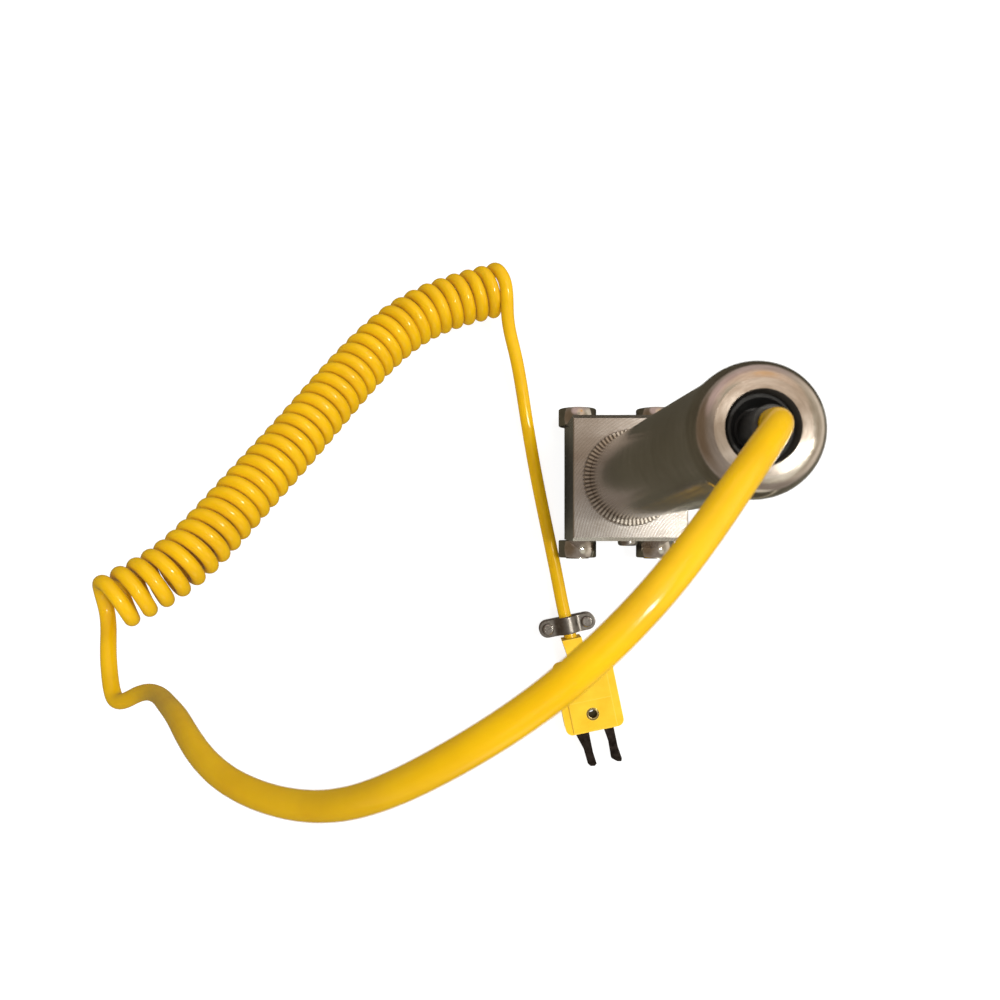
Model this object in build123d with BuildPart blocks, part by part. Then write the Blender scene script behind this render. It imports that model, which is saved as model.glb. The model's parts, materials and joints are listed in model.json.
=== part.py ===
"""Roller surface thermocouple probe with a retractile cord and a miniature plug.

Millimetres, +Z up.  The origin is on the ground, under the axis of the handle:
the four wheels, the plug and the free end of the cord all stand on Z = 0.
"""

from build123d import *
from math import cos, radians, sin, pi
import os

os.makedirs("parts", exist_ok=True)

# ---------------------------------------------------------------- driving sizes
BLOCK_X = 30.0  # carriage block, along the rolling direction
BLOCK_Y = 33.0  # carriage block, across
BLOCK_TOP = 32.0
GROUND_CLEARANCE = 2.5  # underside of the block above the ground
BLOCK_EDGE = 0.3  # chamfer round the top and bottom faces
BLOCK_BEVEL = 1.0  # wider chamfer along the top, beside the wheels
PASSAGE_R = 3.2  # wire passage between the handle and the sensor cavity

WHEEL_D = 11.0  # 5 x 11 x 5 mm shielded ball bearing used as a wheel
WHEEL_BORE = 5.0
WHEEL_W = 5.0
WHEEL_BASE = 22.8  # between the front and rear wheel axes
WHEEL_FACE = 21.7  # outer face of a wheel from the middle plane
RUNNING = 0.03  # radial clearance of the running fits

HANDLE_TOP = 135.7
HANDLE_BASE_R = 10.9
HANDLE_BORE_R = 4.5
SPIGOT_R = 8.0
SPIGOT_LOW = 22.0
RING_R = 12.6  # knurled lock ring
RING_H = 2.2
RING_TEETH = 70

CORD_D = 3.5
COIL_R = 5.75  # mean radius of the coiled cord
COIL_TURNS = 35.3
COIL_LEAN = 1.6  # how far the top of each turn leans along the coil
COIL_OPENING = 0.2  # extra pitch of the first turn, as a share of the mean pitch

PLUG_W = 17.2
PLUG_L = 20.5
PLUG_H = 8.4
BLADE_PITCH = 7.9  # centre to centre, miniature thermocouple plug
BLADE_T = 0.8
PLUG_ANGLE = 11.8  # heading of the plug on the ground, degrees

# ---------------------------------------------------------------- derived sizes
AXLE_Z = WHEEL_D / 2
AXLE_X = WHEEL_BASE / 2
SIDE_Y = BLOCK_Y / 2
CAVITY = (16.0, 18.0, 16.0)  # sensor cavity: along X, along Y, ceiling height
WHEEL_MID_Y = WHEEL_FACE - WHEEL_W / 2
WHEEL_INNER_Y = WHEEL_FACE - WHEEL_W
PLUG_PLANE = Plane(
    origin=(-6.1, -72.2, 0),
    x_dir=(cos(radians(PLUG_ANGLE)), sin(radians(PLUG_ANGLE)), 0),
    z_dir=(0, 0, 1),
)  # local +Y runs from the front face of the plug back to the cord

WHEELS = {
    "front_left": (AXLE_X, 1),
    "front_right": (AXLE_X, -1),
    "rear_left": (-AXLE_X, 1),
    "rear_right": (-AXLE_X, -1),
}  # name: (axle position along X, side of the block)
SECTION = Plane(origin=(0, 0, 0), x_dir=(1, 0, 0), z_dir=(0, -1, 0))  # local x radial, local y up


def save(part, name):
    """Label a finished piece and write it to its own file."""
    part.label = name
    export_step(part, f"parts/{name}.step")


def side_plane(x, y, z, side):
    """Plane whose normal points away from the block on that side."""
    return Plane(origin=(x, y * side, z), x_dir=(1, 0, 0), z_dir=(0, side, 0))


# ---------------------------------------------------------------- carriage block
THREAD_R = 1.5  # shoulder screw threads
THREAD_L = 6.4
LOCK_SCREW_Z = 26.5
LOCK_SCREW_R = 1.5
PLATE_SCREW_X = 4.0
PLATE_SCREW_Y = 12.0
PLATE_SCREW_L = 4.0
PLATE_SCREW_R = 1.0

with BuildPart() as carriage_block:
    with BuildSketch(Plane.XY.offset(GROUND_CLEARANCE)):
        Rectangle(BLOCK_X, BLOCK_Y)
    extrude(amount=BLOCK_TOP - GROUND_CLEARANCE)
    top_edges = carriage_block.faces().sort_by(Axis.Z)[-1].edges()
    chamfer(top_edges.filter_by(Axis.X), length=BLOCK_BEVEL)
    chamfer(carriage_block.faces().sort_by(Axis.Z)[-1].edges().filter_by(Axis.Y), length=BLOCK_EDGE)
    chamfer(carriage_block.faces().sort_by(Axis.Z)[0].edges(), length=BLOCK_EDGE)
    # cavity for the sprung sensor, open underneath
    with BuildSketch(Plane.XY.offset(GROUND_CLEARANCE)):
        RectangleRounded(CAVITY[0], CAVITY[1], 2.0)
    extrude(amount=CAVITY[2] - GROUND_CLEARANCE, mode=Mode.SUBTRACT)
    # handle spigot and wire passage
    with BuildSketch(Plane.XY.offset(SPIGOT_LOW)):
        Circle(SPIGOT_R + RUNNING)
    extrude(amount=BLOCK_TOP - SPIGOT_LOW, mode=Mode.SUBTRACT)
    with BuildSketch(Plane.XY.offset(CAVITY[2])):
        Circle(PASSAGE_R)
    extrude(amount=SPIGOT_LOW - CAVITY[2], mode=Mode.SUBTRACT)
    # threads of the four wheel screws
    for x, side in WHEELS.values():
        with BuildSketch(side_plane(x, SIDE_Y, AXLE_Z, side)):
            Circle(THREAD_R + RUNNING)
        extrude(amount=-THREAD_L, mode=Mode.SUBTRACT)
    # lock screw that holds the handle spigot
    with BuildSketch(side_plane(0, SIDE_Y, LOCK_SCREW_Z, -1)):
        Circle(LOCK_SCREW_R + RUNNING)
    extrude(amount=-(SIDE_Y - SPIGOT_R + 0.2), mode=Mode.SUBTRACT)
    # threads of the retainer plate screws
    with BuildSketch(Plane.XY.offset(GROUND_CLEARANCE)):
        with GridLocations(2 * PLATE_SCREW_X, 2 * PLATE_SCREW_Y, 2, 2):
            Circle(PLATE_SCREW_R + RUNNING)
    extrude(amount=PLATE_SCREW_L, mode=Mode.SUBTRACT)

save(carriage_block.part, "carriage_block")

# ---------------------------------------------------------------- wheels
BALL_R = 0.8
BALL_COUNT = 8
PITCH_R = 4.0
OUTER_LAND_R = 4.55
INNER_LAND_R = 3.45
SHIELD_T = 0.2
SHIELD_SEAT = 0.5  # depth of the seat of a shield in the outer race
SHIELD_R = 4.87
SPACER_R = 3.3
HEAD_R = 3.3
HEAD_H = 0.3
HALF_W = WHEEL_W / 2
FACE_GAP = 0.02  # gap left between touching faces


def section_plane(x, side):
    """Plane through the axis of a wheel: local x is radial, local y points outwards."""
    return Plane(origin=(x, side * WHEEL_MID_Y, AXLE_Z), x_dir=(0, 0, 1), z_dir=(-side, 0, 0))


def wheel_axis(x, side):
    return Axis((x, side * WHEEL_MID_Y, AXLE_Z), (0, side, 0))


def ring(r_in, r_out, low, high):
    """Rectangular section of a ring, added to the open sketch."""
    with Locations(((r_in + r_out) / 2, (low + high) / 2)):
        Rectangle(r_out - r_in, high - low)


for name, (x, side) in WHEELS.items():
    plane = section_plane(x, side)
    axis = wheel_axis(x, side)

    with BuildPart() as outer_race:
        with BuildSketch(plane):
            ring(OUTER_LAND_R, WHEEL_D / 2, -HALF_W, HALF_W)
            with Locations((PITCH_R, 0)):
                Circle(BALL_R + RUNNING, mode=Mode.SUBTRACT)
            for end in (-1, 1):
                with Locations((SHIELD_R / 2, end * (HALF_W - SHIELD_SEAT / 2))):
                    Rectangle(SHIELD_R, SHIELD_SEAT, mode=Mode.SUBTRACT)
        revolve(axis=axis)
        rims = outer_race.edges().filter_by(GeomType.CIRCLE)
        chamfer(rims.filter_by(lambda e: e.radius > WHEEL_D / 2 - 0.01), length=0.25)
    save(outer_race.part, f"{name}_wheel_outer_race")

    with BuildPart() as inner_race:
        with BuildSketch(plane):
            ring(WHEEL_BORE / 2, INNER_LAND_R, -HALF_W, HALF_W)
            with Locations((PITCH_R, 0)):
                Circle(BALL_R + RUNNING, mode=Mode.SUBTRACT)
        revolve(axis=axis)
    save(inner_race.part, f"{name}_wheel_inner_race")

    with BuildPart() as shields:
        with BuildSketch(plane):
            for end in (-1, 1):
                middle = end * (HALF_W - SHIELD_SEAT + SHIELD_T / 2 + FACE_GAP)
                ring(INNER_LAND_R + 0.1, SHIELD_R - FACE_GAP, middle - SHIELD_T / 2, middle + SHIELD_T / 2)
        revolve(axis=axis)
    save(shields.part, f"{name}_wheel_shields")

    hub_plane = side_plane(x, WHEEL_MID_Y, AXLE_Z, side)
    with BuildPart() as balls:
        with Locations(hub_plane):
            with PolarLocations(PITCH_R, BALL_COUNT):
                Sphere(BALL_R)
    save(balls.part, f"{name}_wheel_balls")

    with BuildPart() as cage:
        with BuildSketch(plane):
            ring(PITCH_R - 0.3, PITCH_R + 0.3, -1.2, 1.2)
        revolve(axis=axis)
        with Locations(hub_plane):
            with PolarLocations(PITCH_R, BALL_COUNT):
                Cylinder(BALL_R + 0.07, 2.0, rotation=(0, 90, 0), mode=Mode.SUBTRACT)
    save(cage.part, f"{name}_wheel_cage")

SHOULDER_IN = SIDE_Y - WHEEL_MID_Y  # block face, measured from the middle of a wheel

with BuildPart() as wheel_screws:
    for x, side in WHEELS.values():
        with BuildSketch(section_plane(x, side)):
            ring(0, THREAD_R, SHOULDER_IN - THREAD_L + 0.3, SHOULDER_IN + FACE_GAP)
            ring(0, WHEEL_BORE / 2 - FACE_GAP, SHOULDER_IN + FACE_GAP, HALF_W + FACE_GAP)
            ring(0, HEAD_R, HALF_W + FACE_GAP, HALF_W + FACE_GAP + HEAD_H)
        revolve(axis=wheel_axis(x, side))
        with BuildSketch(side_plane(x, WHEEL_FACE + FACE_GAP + HEAD_H, AXLE_Z, side)):
            Rectangle(2 * HEAD_R + 1, 0.7, rotation=35)
        extrude(amount=-0.6, mode=Mode.SUBTRACT)
save(wheel_screws.part, "wheel_shoulder_screws")

with BuildPart() as wheel_spacers:
    for x, side in WHEELS.values():
        with BuildSketch(section_plane(x, side)):
            ring(WHEEL_BORE / 2 + FACE_GAP, SPACER_R, SHOULDER_IN + FACE_GAP, -HALF_W - FACE_GAP)
        revolve(axis=wheel_axis(x, side))
save(wheel_spacers.part, "wheel_spacers")

# ---------------------------------------------------------------- sprung sensor
PLATE_T = 1.0
PLATE_X = 25.0
PLATE_Y = 28.0
WINDOW = (15.0, 8.6)
NOSE = (13.4, 7.0)
FLANGE = (14.8, 14.6)
FLANGE_LOW = 4.8
FLANGE_TOP = 7.0
RIBBON_W = 3.0
RIBBON_T = 0.2
RIBBON_END_Z = 1.3  # flat ends of the ribbon, under the nose
RIBBON_LOW_Z = 0.2  # lowest point of the bowed middle
RIBBON_BOW = 5.0  # half length of the bow
RIBBON_HALF = 6.9
CLAMP_X = 6.0
CLAMP_SCREW_Y = 2.5
SPRING_Y = 4.8
SPRING_R = 1.75
SPRING_WIRE_R = 0.25
PLATE_LOW = GROUND_CLEARANCE - PLATE_T - FACE_GAP

with BuildPart() as retainer_plate:
    with BuildSketch(Plane.XY.offset(PLATE_LOW)):
        RectangleRounded(PLATE_X, PLATE_Y, 1.5)
        RectangleRounded(WINDOW[0], WINDOW[1], 1.0, mode=Mode.SUBTRACT)
    extrude(amount=PLATE_T)
    with Locations(Plane(origin=(0, 0, PLATE_LOW), x_dir=(1, 0, 0), z_dir=(0, 0, -1))):
        with GridLocations(2 * PLATE_SCREW_X, 2 * PLATE_SCREW_Y, 2, 2):
            CounterSinkHole(PLATE_SCREW_R + 0.1, 1.9, depth=PLATE_T)
save(retainer_plate.part, "sensor_retainer_plate")

with BuildPart() as plate_screws:
    for x in (-PLATE_SCREW_X, PLATE_SCREW_X):
        for y in (-PLATE_SCREW_Y, PLATE_SCREW_Y):
            with BuildSketch(Plane(origin=(x, y, PLATE_LOW), x_dir=(1, 0, 0), z_dir=(0, -1, 0))):
                with BuildLine():
                    Polyline(
                        (0, 0.02),
                        (1.85, 0.02),
                        (PLATE_SCREW_R, 0.87),
                        (PLATE_SCREW_R, PLATE_T + PLATE_SCREW_L - 0.3),
                        (0, PLATE_T + PLATE_SCREW_L - 0.3),
                        close=True,
                    )
                make_face()
            revolve(axis=Axis((x, y, 0), (0, 0, 1)))
            with BuildSketch(Plane.XY.offset(PLATE_LOW)):
                with Locations((x, y)):
                    Rectangle(2.2, 0.45)
                    Rectangle(0.45, 2.2)
            extrude(amount=0.45, mode=Mode.SUBTRACT)
save(plate_screws.part, "retainer_plate_screws")


def ribbon_arc(low):
    """Lower edge of the bowed middle, a given height above the bottom of the ribbon."""
    return ThreePointArc(
        (-RIBBON_BOW, RIBBON_END_Z + low),
        (0, RIBBON_LOW_Z + low),
        (RIBBON_BOW, RIBBON_END_Z + low),
    )


NOSE_GAP = RIBBON_T + 0.02

with BuildPart() as sensor_holder:
    with BuildSketch(SECTION):
        with BuildLine():
            arc = ribbon_arc(NOSE_GAP)
            Polyline(
                arc @ 1,
                (NOSE[0] / 2, RIBBON_END_Z + NOSE_GAP),
                (NOSE[0] / 2, FLANGE_LOW + 0.1),
                (-NOSE[0] / 2, FLANGE_LOW + 0.1),
                (-NOSE[0] / 2, RIBBON_END_Z + NOSE_GAP),
                arc @ 0,
            )
        make_face()
    extrude(amount=NOSE[1] / 2, both=True)
    with BuildSketch(Plane.XY.offset(FLANGE_LOW)):
        RectangleRounded(FLANGE[0], FLANGE[1], 1.6)
    extrude(amount=FLANGE_TOP - FLANGE_LOW)
    # recess over the hot junction, wire holes and clamp screw threads
    with BuildSketch(Plane.XY):
        Circle(0.9)
    extrude(amount=1.4, mode=Mode.SUBTRACT)
    with BuildSketch(Plane.XY):
        with GridLocations(6.0, 1, 2, 1):
            Circle(0.6)
    extrude(amount=FLANGE_TOP, mode=Mode.SUBTRACT)
    with BuildSketch(Plane.XY):
        with GridLocations(2 * CLAMP_X, 2 * CLAMP_SCREW_Y, 2, 2):
            Circle(0.52)
    extrude(amount=4.0, mode=Mode.SUBTRACT)
save(sensor_holder.part, "sensor_holder")

for name, sign in (("ribbon_positive_strip", -1), ("ribbon_negative_strip", 1)):
    with BuildPart() as strip:
        with BuildSketch(SECTION):
            with BuildLine():
                low_arc = ribbon_arc(0)
                high_arc = ribbon_arc(RIBBON_T)
                Line(low_arc @ 0, (-RIBBON_HALF, RIBBON_END_Z))
                Line((-RIBBON_HALF, RIBBON_END_Z), (-RIBBON_HALF, RIBBON_END_Z + RIBBON_T))
                Line((-RIBBON_HALF, RIBBON_END_Z + RIBBON_T), high_arc @ 0)
                Line(low_arc @ 1, (RIBBON_HALF, RIBBON_END_Z))
                Line((RIBBON_HALF, RIBBON_END_Z), (RIBBON_HALF, RIBBON_END_Z + RIBBON_T))
                Line((RIBBON_HALF, RIBBON_END_Z + RIBBON_T), high_arc @ 1)
            make_face()
            with Locations((-sign * (RIBBON_HALF - FACE_GAP), 0)):
                Rectangle(2 * RIBBON_HALF, 8 * RIBBON_END_Z, mode=Mode.SUBTRACT)
        extrude(amount=RIBBON_W / 2, both=True)
    save(strip.part, name)

with BuildPart() as hot_junction:
    with BuildSketch(Plane.XY.offset(RIBBON_LOW_Z + RIBBON_T + FACE_GAP)):
        Circle(0.65)
    extrude(amount=0.5)
    chamfer(hot_junction.faces().sort_by(Axis.Z)[-1].edges(), length=0.3)
save(hot_junction.part, "hot_junction_bead")

with BuildPart() as ribbon_clamps:
    with BuildSketch(Plane.XY.offset(RIBBON_END_Z - FACE_GAP)):
        with GridLocations(2 * CLAMP_X, 1, 2, 1):
            RectangleRounded(1.6, NOSE[1] - 0.4, 0.4)
    extrude(amount=-0.5)
    with BuildSketch(Plane.XY):
        with GridLocations(2 * CLAMP_X, 2 * CLAMP_SCREW_Y, 2, 2):
            Circle(0.55)
    extrude(amount=RIBBON_END_Z, mode=Mode.SUBTRACT)
save(ribbon_clamps.part, "ribbon_clamp_bars")

CLAMP_LOW = RIBBON_END_Z - 2 * FACE_GAP - 0.5
with BuildPart() as ribbon_screws:
    with BuildSketch(Plane.XY.offset(CLAMP_LOW - 0.4)):
        with GridLocations(2 * CLAMP_X, 2 * CLAMP_SCREW_Y, 2, 2):
            Circle(0.85)
    extrude(amount=0.4)
    with BuildSketch(Plane.XY.offset(CLAMP_LOW)):
        with GridLocations(2 * CLAMP_X, 2 * CLAMP_SCREW_Y, 2, 2):
            Circle(0.5)
    extrude(amount=2.6)
save(ribbon_screws.part, "ribbon_clamp_screws")

SPRING_LOW = FLANGE_TOP + SPRING_WIRE_R + FACE_GAP
SPRING_HEIGHT = CAVITY[2] - SPRING_WIRE_R - FACE_GAP - SPRING_LOW
with BuildPart() as sensor_springs:
    for y in (-SPRING_Y, SPRING_Y):
        with BuildLine() as spring_line:
            Helix(
                pitch=SPRING_HEIGHT / 6,
                height=SPRING_HEIGHT,
                radius=SPRING_R,
                center=(0, y, SPRING_LOW),
            )
        with BuildSketch(Plane(origin=spring_line.line @ 0, z_dir=spring_line.line % 0)):
            Circle(SPRING_WIRE_R)
        sweep(path=spring_line.line, is_frenet=True)
save(sensor_springs.part, "sensor_springs")

with BuildPart() as sensor_terminals:
    with BuildSketch(Plane.XY.offset(RIBBON_END_Z + NOSE_GAP + 0.2)):
        with GridLocations(6.0, 1, 2, 1):
            Circle(0.5)
    extrude(amount=7.0)
save(sensor_terminals.part, "sensor_terminal_pins")

# ---------------------------------------------------------------- handle
HANDLE_LOW = BLOCK_TOP + RING_H + FACE_GAP

with BuildPart() as handle:
    with BuildSketch(SECTION):
        with BuildLine():
            taper = Spline(
                (HANDLE_BASE_R, HANDLE_LOW + 0.4),
                (9.9, 85.0),
                (9.2, 117.0),
                (9.15, 130.0),
                (8.95, 133.6),
                (8.0, 135.2),
                (6.4, HANDLE_TOP),
                tangents=[(-0.02, 1), (-1, 0.12)],
            )
            Polyline(
                taper @ 1,
                (HANDLE_BORE_R + 0.5, HANDLE_TOP),
                (HANDLE_BORE_R, HANDLE_TOP - 0.5),
                (HANDLE_BORE_R, SPIGOT_LOW),
                (SPIGOT_R - 0.5, SPIGOT_LOW),
                (SPIGOT_R, SPIGOT_LOW + 0.5),
                (SPIGOT_R, HANDLE_LOW),
                (HANDLE_BASE_R - 0.4, HANDLE_LOW),
                taper @ 0,
            )
        make_face()
    revolve(axis=Axis.Z)
    # dimple for the lock screw
    with BuildSketch(side_plane(0, SPIGOT_R, LOCK_SCREW_Z, -1)):
        Circle(1.0)
    extrude(amount=-0.8, mode=Mode.SUBTRACT)
save(handle.part, "handle")

TOOTH = 2 * pi / RING_TEETH
TOOTH_DEPTH = 0.45


def tooth_corner(index):
    """Corner of the knurled outline: crests and roots alternate."""
    radius = RING_R - TOOTH_DEPTH * (index % 2)
    return (radius * cos(index * TOOTH / 2), radius * sin(index * TOOTH / 2))


with BuildPart() as lock_ring:
    with BuildSketch(Plane.XY.offset(BLOCK_TOP)):
        with BuildLine():
            Polyline(*[tooth_corner(i) for i in range(2 * RING_TEETH)], close=True)
        make_face()
        Circle(SPIGOT_R + RUNNING, mode=Mode.SUBTRACT)
    extrude(amount=RING_H)
    # bevel that thins the knurl towards its top edge
    with BuildSketch(SECTION):
        with BuildLine():
            Polyline(
                (RING_R - 0.5, BLOCK_TOP + RING_H + 0.1),
                (RING_R + 0.5, BLOCK_TOP + RING_H + 0.1),
                (RING_R + 0.5, BLOCK_TOP + RING_H - 0.8),
                close=True,
            )
        make_face()
    revolve(axis=Axis.Z, mode=Mode.SUBTRACT)
save(lock_ring.part, "knurled_lock_ring")

with BuildPart() as lock_screw:
    with BuildSketch(side_plane(0, SPIGOT_R - 0.6, LOCK_SCREW_Z, -1)):
        Circle(0.9)
    extrude(amount=0.8)
    with BuildSketch(side_plane(0, SPIGOT_R + 0.2, LOCK_SCREW_Z, -1)):
        Circle(LOCK_SCREW_R)
    extrude(amount=SIDE_Y - SPIGOT_R - 0.18)
    with BuildSketch(side_plane(0, SIDE_Y + FACE_GAP, LOCK_SCREW_Z, -1)):
        Circle(2.6)
    extrude(amount=1.3)
    fillet(lock_screw.faces().sort_by(Axis.Y)[0].edges(), radius=0.8)
    with BuildSketch(side_plane(0, SIDE_Y + 1.4, LOCK_SCREW_Z, -1)):
        RegularPolygon(0.95, 6)
    extrude(amount=-0.9, mode=Mode.SUBTRACT)
save(lock_screw.part, "handle_lock_screw")

COLLAR_R = 2.5
COLLAR_TOP = HANDLE_TOP + 3.0
GROMMET_LOW = 126.0
with BuildPart() as grommet:
    with BuildSketch(SECTION):
        with BuildLine():
            Polyline(
                (COLLAR_R + FACE_GAP, GROMMET_LOW),
                (HANDLE_BORE_R - FACE_GAP, GROMMET_LOW),
                (HANDLE_BORE_R - FACE_GAP, HANDLE_TOP - 1.0),
                (HANDLE_BORE_R - 0.5, HANDLE_TOP - 1.0),
                (COLLAR_R + 0.4, HANDLE_TOP - 3.0),
                (COLLAR_R + FACE_GAP, HANDLE_TOP - 3.0),
                close=True,
            )
        make_face()
    revolve(axis=Axis.Z)
save(grommet.part, "handle_grommet")

CORD_FIT_R = CORD_D / 2 + 0.06
with BuildPart() as collar:
    with BuildSketch(SECTION):
        ring(CORD_FIT_R, COLLAR_R, GROMMET_LOW + 1, COLLAR_TOP)
    revolve(axis=Axis.Z)
    fillet(collar.edges().filter_by(GeomType.CIRCLE).sort_by(Axis.Z)[-1:], radius=0.2)
save(collar.part, "cord_collar")

# ---------------------------------------------------------------- cord
CORD_START = 118.0  # end of the jacket inside the handle
STRAIGHT_TOP = 140.5  # the cord is straight through the grommet up to here
PLUG_CORD_X = -0.7  # the cord enters the plug slightly off its centre line
CLAMP_OFFSET = -1.8
CLAMP_Y = 31.5
CORD_Z = PLUG_H / 2
CORD_END_Y = 20.0


def plug_point(x, y, z):
    """Point given in the frame of the plug."""
    return tuple(PLUG_PLANE.from_local_coords(Vector(x, y, z)))


HANDLE_LEAD = [
    (0, 0, STRAIGHT_TOP),
    (-3.4, -3.2, 147),
    (-10.1, -10.1, 154.5),
    (-18.6, -19.2, 160.5),
    (-28.7, -28.7, 161),
    (-39.5, -36.6, 157.5),
    (-55.7, -45.8, 143.5),
    (-71.2, -47.5, 128.5),
    (-88.8, -45.8, 102),
    (-99.6, -47.3, 82),
    (-108.6, -48.8, 66.5),
    (-117.5, -51.4, 56.5),
    (-125, -53.5, 50.5),
    (-128.3, -49, 46.5),
    (-131.2, -42.5, 41.5),
    (-134.5, -34, 35.8),
]
COIL_AXIS = [
    (-130.6, -31.8, 41),
    (-117.5, -23.5, 36.5),
    (-104, -7.5, 29),
    (-90, 11.5, 20.5),
    (-75, 32, 12.5),
    (-58, 48, 8.4),
    (-34, 56.4, 7.8),
]
PLUG_LEAD = [
    (-31.9, 47.4, 11),
    (-29.8, 38, 7.6),
    (-27, 23.5, 4),
    (-24, 6, 2.2),
    (-20.4, -12, 2),
    (-17, -28.7, 2.8),
]
POINTS_PER_TURN = 8
coil_axis = Spline(*COIL_AXIS)


def coil_point(index):
    """Point on the coiled cord, which starts at the side of its first turn."""
    turn = index / POINTS_PER_TURN
    share = turn / COIL_TURNS
    along = share + COIL_OPENING * share * (1 - share) ** 6
    tangent = coil_axis % along
    up = (Vector(0, 0, 1) - tangent * tangent.Z).normalized()
    across = tangent.cross(up)
    angle = 2 * pi * turn - pi / 2
    lean = tangent * (COIL_LEAN * cos(angle))
    return tuple(coil_axis @ along + up * (COIL_R * cos(angle)) + across * (COIL_R * sin(angle)) + lean)


coil_points = [coil_point(i) for i in range(int(COIL_TURNS * POINTS_PER_TURN) + 1)]
cord_end = plug_point(PLUG_CORD_X, CORD_END_Y, CORD_Z)
clamp_point = plug_point(CLAMP_OFFSET, CLAMP_Y, CORD_Z)
plug_heading = (Vector(*cord_end) - Vector(*clamp_point)).normalized()

coil_run = Spline(*coil_points)
CORD_RUNS = {
    "cord_handle_lead": [
        Line((0, 0, CORD_START), (0, 0, STRAIGHT_TOP)),
        Spline(*HANDLE_LEAD, coil_run @ 0, tangents=[(0, 0, 1), coil_run % 0], tangent_scalars=[1, 1]),
    ],
    "cord_coil": [coil_run],
    "cord_plug_lead": [
        Spline(coil_run @ 1, *PLUG_LEAD, clamp_point, tangents=[coil_run % 1, plug_heading]),
        Line(clamp_point, cord_end),
    ],
}

# The coil and its two leads are one cord; they are written as three lengths that meet face to face.
for name, runs in CORD_RUNS.items():
    with BuildPart() as length_of_cord:
        for run in runs:
            with BuildSketch(Plane(origin=run @ 0, z_dir=run % 0)):
                Circle(CORD_D / 2)
            sweep(path=run, is_frenet=run is coil_run)
    save(length_of_cord.part, name)

CORE_R = 0.6
CORE_X = 0.75
CORE_GAP = 0.15  # the jacket ends at a slant to the plug
with BuildPart() as handle_cores:
    with BuildSketch(Plane.XY.offset(10.0)):
        with GridLocations(2 * CORE_X, 1, 2, 1):
            Circle(CORE_R)
    extrude(amount=CORD_START - FACE_GAP - 10.0)
core_solids = handle_cores.solids().sort_by(Axis.X)
for name, core in zip(("handle_positive_core", "handle_negative_core"), core_solids):
    save(Part(core.wrapped), name)

# ---------------------------------------------------------------- plug
MID_Z = PLUG_H / 2
RAIL_W = 2.2  # the sides of the cover step down by this width
RAIL_Z = 7.5
FRONT_PAD_Z = 8.0
STEP_Y = 9.2
CORNER_R = 2.0
HOLE_Y = 5.1
EYELET_R = 1.83
EYELET_BORE_R = 1.15
POCKET_Y = (7.3, 18.5)
POCKET_X = 6.4
FLOOR_Z = 1.8
ROOF_Z = 6.8
BLADE_LOW = MID_Z - BLADE_T / 2
BLADE_IN = 12.0
TERMINAL_Y = 10.0
NECK = [(-3.3, PLUG_L - 0.5), (-4.3, 27.6), (1.4, 27.6), (1.9, PLUG_L - 0.5)]
TONGUE = (-2.9, 0.1)  # X limits of the bracket tongue inside the plug
BRACKET_Z = (1.2, 2.2)
BLADES = {
    "plug_negative_blade": [(-5.8, BLADE_IN), (-5.8, -1.0), (-4.5, -5.4), (-4.2, -9.8), (-3.6, -10.7)]
    + [(-2.3, -10.9), (-1.6, -10.4), (-2.0, -6.8), (-1.9, BLADE_IN)],
    "plug_positive_blade": [(2.6, BLADE_IN), (2.6, -1.0), (3.1, -4.5), (2.9, -9.6), (4.4, -10.9)]
    + [(5.7, -11.2), (6.0, -10.3), (5.5, -6.6), (5.5, BLADE_IN)],
}


def plug_sketch(z):
    return BuildSketch(PLUG_PLANE.offset(z))


def body_outline():
    """Body of the plug with its tapered neck, added to the open sketch."""
    with Locations((0, PLUG_L / 2)):
        RectangleRounded(PLUG_W, PLUG_L, CORNER_R)
    Polygon(*NECK, align=None)


CHANNEL_PLANE = Plane(origin=clamp_point, z_dir=plug_heading)
CHANNEL_L = CLAMP_Y - POCKET_Y[1] + 0.5
SLOT_GAP = 0.05


def blade_openings():
    """Openings of the two blades, a little wider than the blades, added to the open sketch."""
    for outline in BLADES.values():
        middle = sum(x for x, y in outline) / len(outline)
        Polygon(*[(x + (SLOT_GAP if x > middle else -SLOT_GAP), y) for x, y in outline], align=None)


with BuildPart() as plug_base:
    with plug_sketch(0):
        body_outline()
    extrude(amount=MID_Z)
    chamfer(plug_base.faces().sort_by(Axis.Z)[0].edges(), length=0.4)
    with plug_sketch(FLOOR_Z):
        with Locations((0, sum(POCKET_Y) / 2)):
            Rectangle(2 * POCKET_X, POCKET_Y[1] - POCKET_Y[0])
    extrude(amount=MID_Z, mode=Mode.SUBTRACT)
    with plug_sketch(0):
        with Locations((0, HOLE_Y)):
            Circle(EYELET_R + FACE_GAP)
    extrude(amount=MID_Z, mode=Mode.SUBTRACT)
    with plug_sketch(BRACKET_Z[0] - FACE_GAP):
        with Locations((sum(TONGUE) / 2, PLUG_L + 4)):
            Rectangle(TONGUE[1] - TONGUE[0] + 0.04, 10)
    extrude(amount=BRACKET_Z[1] - BRACKET_Z[0] + 2 * FACE_GAP, mode=Mode.SUBTRACT)
    with plug_sketch(BLADE_LOW - FACE_GAP):
        blade_openings()
    extrude(amount=MID_Z, mode=Mode.SUBTRACT)
    with BuildSketch(CHANNEL_PLANE):
        Circle(CORD_FIT_R)
    extrude(amount=CHANNEL_L, mode=Mode.SUBTRACT)
save(plug_base.part, "plug_base")

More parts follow.
